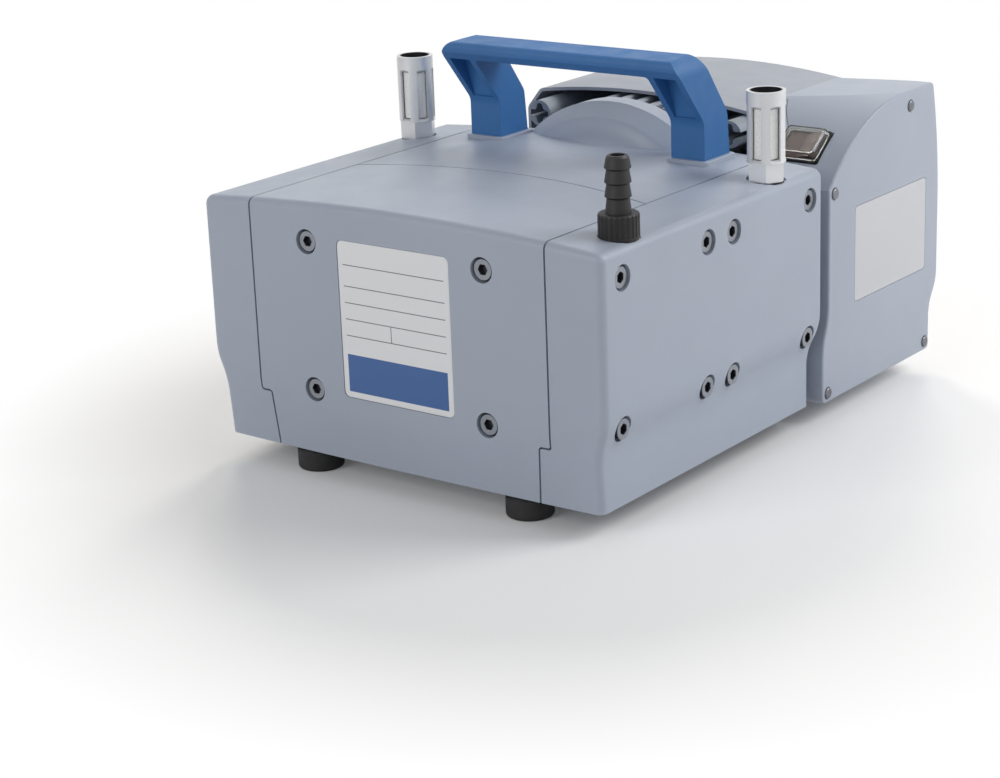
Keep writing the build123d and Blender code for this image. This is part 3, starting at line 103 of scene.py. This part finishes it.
class Material:
    """Principled material with short calls for the nodes that feed it."""

    def __init__(self, name, colour, roughness, metallic=0.0):
        self.material = bpy.data.materials.new(name)
        self.material.use_nodes = True
        self.tree = self.material.node_tree
        self.shader = self.tree.nodes["Principled BSDF"]
        self.shader.inputs["Base Color"].default_value = (*colour, 1.0)
        self.shader.inputs["Roughness"].default_value = roughness
        self.shader.inputs["Metallic"].default_value = metallic
        self.colour = colour
        self.coordinates = self.node("ShaderNodeTexCoord").outputs["Object"]
        self.height = None

    def node(self, kind, **settings):
        made = self.tree.nodes.new(kind)
        for key, value in settings.items():
            setattr(made, key, value)
        return made

    def link(self, output, target):
        self.tree.links.new(output, target)

    def axes(self):
        """The object's own X, Y and Z, in metres."""
        split = self.node("ShaderNodeSeparateXYZ")
        self.link(self.coordinates, split.inputs["Vector"])
        return split.outputs["X"], split.outputs["Y"], split.outputs["Z"]

    def noise(self, scale, detail, stretch=None):
        """Noise over the object's own coordinates, in features per metre."""
        made = self.node("ShaderNodeTexNoise")
        made.inputs["Scale"].default_value = scale
        made.inputs["Detail"].default_value = detail
        source = self.coordinates
        if stretch:
            mapping = self.node("ShaderNodeMapping")
            mapping.inputs["Scale"].default_value = stretch
            self.link(source, mapping.inputs["Vector"])
            source = mapping.outputs["Vector"]
        self.link(source, made.inputs["Vector"])
        return made.outputs["Fac"]

    def remap(self, source, low, high, to_low, to_high):
        made = self.node("ShaderNodeMapRange")
        made.inputs["From Min"].default_value = low
        made.inputs["From Max"].default_value = high
        made.inputs["To Min"].default_value = to_low
        made.inputs["To Max"].default_value = to_high
        self.link(source, made.inputs["Value"])
        return made.outputs["Result"]

    def maths(self, operation, first, second=0.0):
        """One sum; each side is a number or an output."""
        made = self.node("ShaderNodeMath", operation=operation)
        for socket, value in zip(made.inputs, (first, second)):
            if isinstance(value, (int, float)):
                socket.default_value = value
            else:
                self.link(value, socket)
        return made.outputs["Value"]

    def mix(self, factor, first, second):
        """Colour mix; each side is a colour or an output."""
        made = self.node("ShaderNodeMix", data_type="RGBA")
        self.link(factor, made.inputs["Factor"])
        for key, value in (("A", first), ("B", second)):
            socket = [s for s in made.inputs if s.name == key and s.type == "RGBA"][0]
            if isinstance(value, tuple):
                socket.default_value = (*value, 1.0)
            else:
                self.link(value, socket)
        return [s for s in made.outputs if s.type == "RGBA"][0]

    def set_colour(self, output):
        self.link(output, self.shader.inputs["Base Color"])

    def vary_colour(self, scale, amount):
        """Slow drift of the colour's lightness."""
        low = tuple(c * (1 - amount) for c in self.colour)
        high = tuple(min(c * (1 + amount), 1.0) for c in self.colour)
        factor = self.remap(self.noise(scale, 3.0), 0.35, 0.65, 0.0, 1.0)
        self.set_colour(self.mix(factor, low, high))

    def vary_roughness(self, scale, low, high, stretch=None):
        """Slow drift of the roughness between two values."""
        factor = self.remap(self.noise(scale, 3.0, stretch), 0.35, 0.65, low, high)
        self.link(factor, self.shader.inputs["Roughness"])

    def add_height(self, source, amount):
        """Adds a height field, in millimetres, for the bump."""
        scaled = self.maths("MULTIPLY", source, amount * MM)
        self.height = scaled if self.height is None else self.maths("ADD", self.height, scaled)

    def finish(self):
        """The finished material, with the bump of the heights added so far."""
        if self.height is not None:
            bump = self.node("ShaderNodeBump")
            bump.inputs["Strength"].default_value = 1.0
            bump.inputs["Distance"].default_value = 1.0
            self.link(self.height, bump.inputs["Height"])
            self.link(bump.outputs["Normal"], self.shader.inputs["Normal"])
        return self.material


# Materials


def powder_coat(name, colour, roughness):
    """Fine textured paint on cast and sheet metal."""
    paint = Material(name, colour, roughness)
    paint.vary_colour(9.0, 0.025)
    paint.vary_roughness(60.0, roughness - 0.04, roughness + 0.05)
    paint.add_height(paint.noise(900.0, 2.0), 0.035)
    paint.add_height(paint.noise(260.0, 2.0), 0.03)
    return paint.finish()


def brushed_metal(name, colour, roughness):
    """Turned or ground metal with marks across Z."""
    metal = Material(name, colour, roughness, metallic=1.0)
    metal.vary_colour(40.0, 0.06)
    metal.vary_roughness(220.0, roughness - 0.06, roughness + 0.08, turning_marks)
    metal.add_height(metal.noise(700.0, 3.0, turning_marks), 0.008)
    return metal.finish()


def moulded_plastic(name, colour, roughness, grain=0.012):
    """Moulded plastic with a fine grain, whose height is in millimetres."""
    plastic = Material(name, colour, roughness)
    plastic.vary_colour(25.0, 0.05)
    plastic.vary_roughness(120.0, roughness - 0.05, roughness + 0.06)
    plastic.add_height(plastic.noise(1600.0, 2.0), grain)
    return plastic.finish()


def cast_metal(name, colour, roughness):
    """Bare die-cast or extruded aluminium with a fine grain."""
    metal = Material(name, colour, roughness, metallic=0.3)
    metal.vary_colour(30.0, 0.12)
    metal.vary_roughness(90.0, roughness - 0.08, roughness + 0.1)
    metal.add_height(metal.noise(500.0, 4.0), 0.05)
    return metal.finish()


def rubber(name, colour):
    """Matt black rubber."""
    skin = Material(name, colour, 0.62)
    skin.vary_colour(35.0, 0.15)
    skin.vary_roughness(150.0, 0.55, 0.72)
    skin.add_height(skin.noise(1100.0, 2.0), 0.02)
    return skin.finish()


def sintered(name, colour):
    """White porous insert: fine grains and dark pores."""
    grains = Material(name, colour, 0.75)
    pores = grains.remap(grains.noise(1500.0, 4.0), 0.38, 0.5, 0.0, 1.0)
    grains.set_colour(grains.mix(pores, tuple(0.88 * c for c in colour), colour))
    grains.add_height(grains.noise(1500.0, 4.0), 0.03)
    return grains.finish()


def socket_screw_steel():
    """Steel with a bright face; the socket and the head's side, deeper than the face, are darkened with
    painted shade.
    """
    steel = Material("socket screw steel with painted shade", screw_face, 0.4, metallic=1.0)
    x, y, _ = steel.axes()
    front_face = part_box("front_cover_screws")[0].y
    side_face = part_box("head_cover_screws")[1].x
    behind_front = steel.maths("SUBTRACT", y, front_face)
    behind_side = steel.maths("SUBTRACT", side_face, steel.maths("ABSOLUTE", x))
    depth = steel.maths("MINIMUM", behind_front, behind_side)
    # painted shade: the steel turns dark with depth behind the face, in the socket and on the head's side
    painted_shade_mask = steel.remap(depth, painted_shade_start, painted_shade_end, 0.0, 1.0)
    steel.set_colour(steel.mix(painted_shade_mask, screw_face, screw_painted_shade))
    steel.vary_roughness(220.0, 0.34, 0.48)
    steel.add_height(steel.noise(700.0, 3.0), 0.006)
    return steel.finish()


def silencer_metal():
    """Bright turned aluminium with painted shade inside the bore; the two silencers mirror each other in X.
    """
    metal = Material("silencer metal with painted shade", silencer_bright, 0.36, metallic=0.55)
    x, y, _ = metal.axes()
    low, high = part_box("silencer_right")
    radius = (high.x - low.x) / 2
    across = metal.maths("SUBTRACT", metal.maths("ABSOLUTE", x), (low.x + high.x) / 2)
    along = metal.maths("SUBTRACT", y, (low.y + high.y) / 2)
    across_squared = metal.maths("MULTIPLY", across, across)
    along_squared = metal.maths("MULTIPLY", along, along)
    from_axis = metal.maths("SQRT", metal.maths("ADD", across_squared, along_squared))
    full_shade_edge, no_shade_edge = (share * radius for share in painted_shade_edge_shares)
    # painted shade: dark near the axis inside the bore, bright from the wall outwards
    clear_of_painted_shade = metal.remap(from_axis, full_shade_edge, no_shade_edge, 0.0, 1.0)
    metal.set_colour(metal.mix(clear_of_painted_shade, silencer_bore_painted_shade, silencer_bright))
    metal.vary_roughness(220.0, 0.3, 0.42, turning_marks)
    metal.add_height(metal.noise(700.0, 3.0, turning_marks), 0.004)
    return metal.finish()


def wire_wound(name, colour):
    """Enamelled wire, seen as rows across Y."""
    wire = Material(name, colour, 0.4, metallic=0.8)
    wire.vary_colour(60.0, 0.2)
    wire.add_height(wire.noise(400.0, 2.0, (1.0, 8.0, 1.0)), 0.3)
    return wire.finish()


def clear_plastic(name):
    """Soft clear splash cover over the switch."""
    cover = Material(name, (0.93, 0.93, 0.9), 0.12)
    cover.shader.inputs["Transmission Weight"].default_value = 1.0
    cover.shader.inputs["IOR"].default_value = 1.45
    cover.add_height(cover.noise(180.0, 1.0), 0.02)
    return cover.finish()


def band(film, axis, low, high):
    """1 between two places along one axis, in metres, else 0."""
    above = film.maths("GREATER_THAN", axis, low)
    below = film.maths("LESS_THAN", axis, high)
    return film.maths("MULTIPLY", above, below)


def rule(film, axis, centre):
    """1 on a thin line across one axis, else 0."""
    return band(film, axis, centre - rule_half_width, centre + rule_half_width)


def nameplate_film():
    """White plate with plain rules and a blank blue field, and nothing written on it."""
    low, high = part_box("nameplate")
    width = high.x - low.x
    height = high.z - low.z
    film = Material("nameplate film", plate_white, 0.32)
    x, _, z = film.axes()
    inside = band(film, x, low.x + plate_margin, high.x - plate_margin)
    rule_heights = [high.z - share * height for share in rule_shares]
    rules = rule(film, z, rule_heights[0])
    for rule_height in rule_heights[1:]:
        rules = film.maths("MAXIMUM", rules, rule(film, z, rule_height))
    rules = film.maths("MULTIPLY", rules, inside)
    between_last_rules = band(film, z, rule_heights[-1], rule_heights[-2])
    upright = rule(film, x, low.x + divider_share * width)
    divider = film.maths("MULTIPLY", upright, between_last_rules)
    rules = film.maths("MAXIMUM", rules, divider)
    lower_part = band(film, z, low.z + plate_margin, low.z + blue_field_share * height)
    field = film.maths("MULTIPLY", inside, lower_part)
    ruled = film.mix(rules, plate_white, plate_rule)
    film.set_colour(film.mix(field, ruled, plate_blue))
    film.shader.inputs["Coat Weight"].default_value = 0.3
    film.add_height(film.noise(300.0, 1.0), 0.01)
    return film.finish()


def label_film():
    """Plain pale film with a satin shimmer."""
    film = Material("label film", srgb(198, 200, 206), 0.34)
    film.vary_colour(12.0, 0.02)
    film.vary_roughness(70.0, 0.3, 0.4)
    film.add_height(film.noise(1200.0, 2.0), 0.006)
    film.shader.inputs["Coat Weight"].default_value = 0.2
    return film.finish()


materials = {
    "body_paint": powder_coat("body paint", srgb(166, 175, 190), 0.42),
    "hood_paint": powder_coat("hood paint", srgb(168, 176, 190), 0.45),
    "cast_metal": cast_metal("cast metal", srgb(150, 157, 166), 0.5),
    "plain_metal": brushed_metal("plain metal", srgb(200, 202, 206), 0.35),
    "screw_steel": brushed_metal("screw steel", srgb(176, 180, 186), 0.4),
    "bearing_steel": brushed_metal("bearing steel", srgb(205, 206, 210), 0.22),
    "iron": cast_metal("iron", srgb(92, 92, 96), 0.55),
    "copper": wire_wound("copper wire", srgb(186, 104, 62)),
    "diaphragm_rubber": rubber("diaphragm rubber", srgb(38, 38, 40)),
    "black_plastic": moulded_plastic("black plastic", srgb(15, 15, 16), 0.5),
    "foot_rubber": rubber("foot rubber", srgb(24, 24, 26)),
    "handle_blue": moulded_plastic("handle plastic", srgb(50, 108, 168), 0.5, grain=0.02),
    "nameplate_film": nameplate_film(),
    "label_film": label_film(),
    "rocker_red": moulded_plastic("rocker plastic", srgb(74, 44, 38), 0.3),
    "clear_cover": clear_plastic("clear cover"),
    "silencer_metal": silencer_metal(),
    "sintered_insert": sintered("sintered insert", srgb(250, 250, 248)),
    "capacitor_can": brushed_metal("capacitor can", srgb(205, 207, 210), 0.3),
    "zinc_sheet": brushed_metal("zinc sheet", srgb(180, 184, 190), 0.4),
}

# Nodes whose finish differs from the rest of their slot

socket_steel = socket_screw_steel()
own_finish = {
    "front_cover_screws": socket_steel,
    "head_cover_screws": socket_steel,
    "fan_hood": powder_coat("fan hood paint", srgb(156, 162, 173), 0.45),
    # box screws: partly the steel's own colour, partly painted shade, darkened overall in place of the
    # shade of the unmodelled slots
    "terminal_box_screws": brushed_metal("box screw steel with painted shade", srgb(124, 126, 132), 0.3),
}

for part in frame["record"]["subparts"]:
    node = nodes[part["node"]]
    node.data.materials.clear()
    node.data.materials.append(own_finish.get(part["node"], materials[part["material_slot"]]))


# Floor, world and light


def build_floor():
    """Pale floor that keeps the object's shadow; the camera alone sees it lighter, and white far away."""
    bpy.ops.mesh.primitive_plane_add(size=floor_size, location=(0, 0, 0))
    floor = bpy.context.object
    floor.name = "floor"
    ground = Material("floor", floor_grey, 0.6)
    fades = []
    for centre, radius in fade_centres:
        distance = ground.node("ShaderNodeVectorMath", operation="DISTANCE")
        ground.link(ground.coordinates, distance.inputs[0])
        distance.inputs[1].default_value = centre
        fades.append(ground.remap(distance.outputs["Value"], radius, radius + fade_width, fade_near, 1.0))
    far = ground.maths("MINIMUM", *fades)
    camera_ray = ground.node("ShaderNodeLightPath").outputs["Is Camera Ray"]
    ground.set_colour(ground.mix(camera_ray, floor_grey, white))
    glow = ground.node("ShaderNodeEmission")
    glow.inputs["Color"].default_value = (*white, 1.0)
    glow.inputs["Strength"].default_value = 1.0
    blend = ground.node("ShaderNodeMixShader")
    ground.link(ground.maths("MULTIPLY", far, camera_ray), blend.inputs[0])
    ground.link(ground.shader.outputs["BSDF"], blend.inputs[1])
    ground.link(glow.outputs["Emission"], blend.inputs[2])
    ground.link(blend.outputs["Shader"], ground.tree.nodes["Material Output"].inputs["Surface"])
    floor.data.materials.append(ground.finish())


def build_world():
    """Even pale surroundings, seen as white by the camera, in reflections and through clear plastic."""
    world = bpy.data.worlds.new("studio")
    world.use_nodes = True
    tree = world.node_tree
    background = tree.nodes["Background"]
    background.inputs["Color"].default_value = (*white, 1.0)
    path = tree.nodes.new("ShaderNodeLightPath")
    seen = path.outputs["Is Camera Ray"]
    for ray in ("Is Glossy Ray", "Is Transmission Ray"):
        either = tree.nodes.new("ShaderNodeMath")
        either.operation = "MAXIMUM"
        tree.links.new(seen, either.inputs[0])
        tree.links.new(path.outputs[ray], either.inputs[1])
        seen = either.outputs["Value"]
    level = tree.nodes.new("ShaderNodeMapRange")
    level.inputs["To Min"].default_value = world_strength
    level.inputs["To Max"].default_value = 1.0
    tree.links.new(seen, level.inputs["Value"])
    tree.links.new(level.outputs["Result"], background.inputs["Strength"])
    bpy.context.scene.world = world


def area_light(name, place, side, power, tint=white):
    """Square lamp that faces the middle of the pump."""
    light = bpy.data.lights.new(name, "AREA")
    light.shape = "RECTANGLE"
    light.size = side
    light.size_y = side
    light.energy = power
    light.color = tint
    lamp = bpy.data.objects.new(name, light)
    bpy.context.scene.collection.objects.link(lamp)
    lamp.location = place
    aim = Vector(light_target) - Vector(place)
    lamp.rotation_euler = aim.to_track_quat("-Z", "Y").to_euler()
    return lamp


def build_lights():
    """Key on the right, wide fill at the front left, and two warm lamps behind that no reflection shows."""
    area_light("key", *key_light)
    area_light("fill", *fill_light)
    for name, place in back_lights.items():
        lamp = area_light(name, place, back_light_side, back_light_power, warm)
        lamp.visible_glossy = False


def build_camera():
    """Camera at the photograph's viewing angle, from points that both the photograph and the model show."""
    swing = Matrix.Rotation(radians(camera_azimuth), 3, "Z")
    swing = swing @ Matrix.Rotation(radians(90 - camera_elevation), 3, "X")
    swing = swing @ Matrix.Rotation(radians(camera_roll), 3, "Z")
    camera_data = bpy.data.cameras.new("camera")
    camera_data.lens = camera_lens
    camera_data.sensor_width = camera_sensor
    camera_data.clip_start = 0.05
    camera = bpy.data.objects.new("camera", camera_data)
    bpy.context.scene.collection.objects.link(camera)
    camera.rotation_euler = swing.to_euler()
    camera.location = Vector(camera_target) - swing @ Vector(camera_offset)
    bpy.context.scene.camera = camera


build_floor()
build_world()
build_lights()
build_camera()

bpy.context.scene.view_settings.view_transform = "Standard"
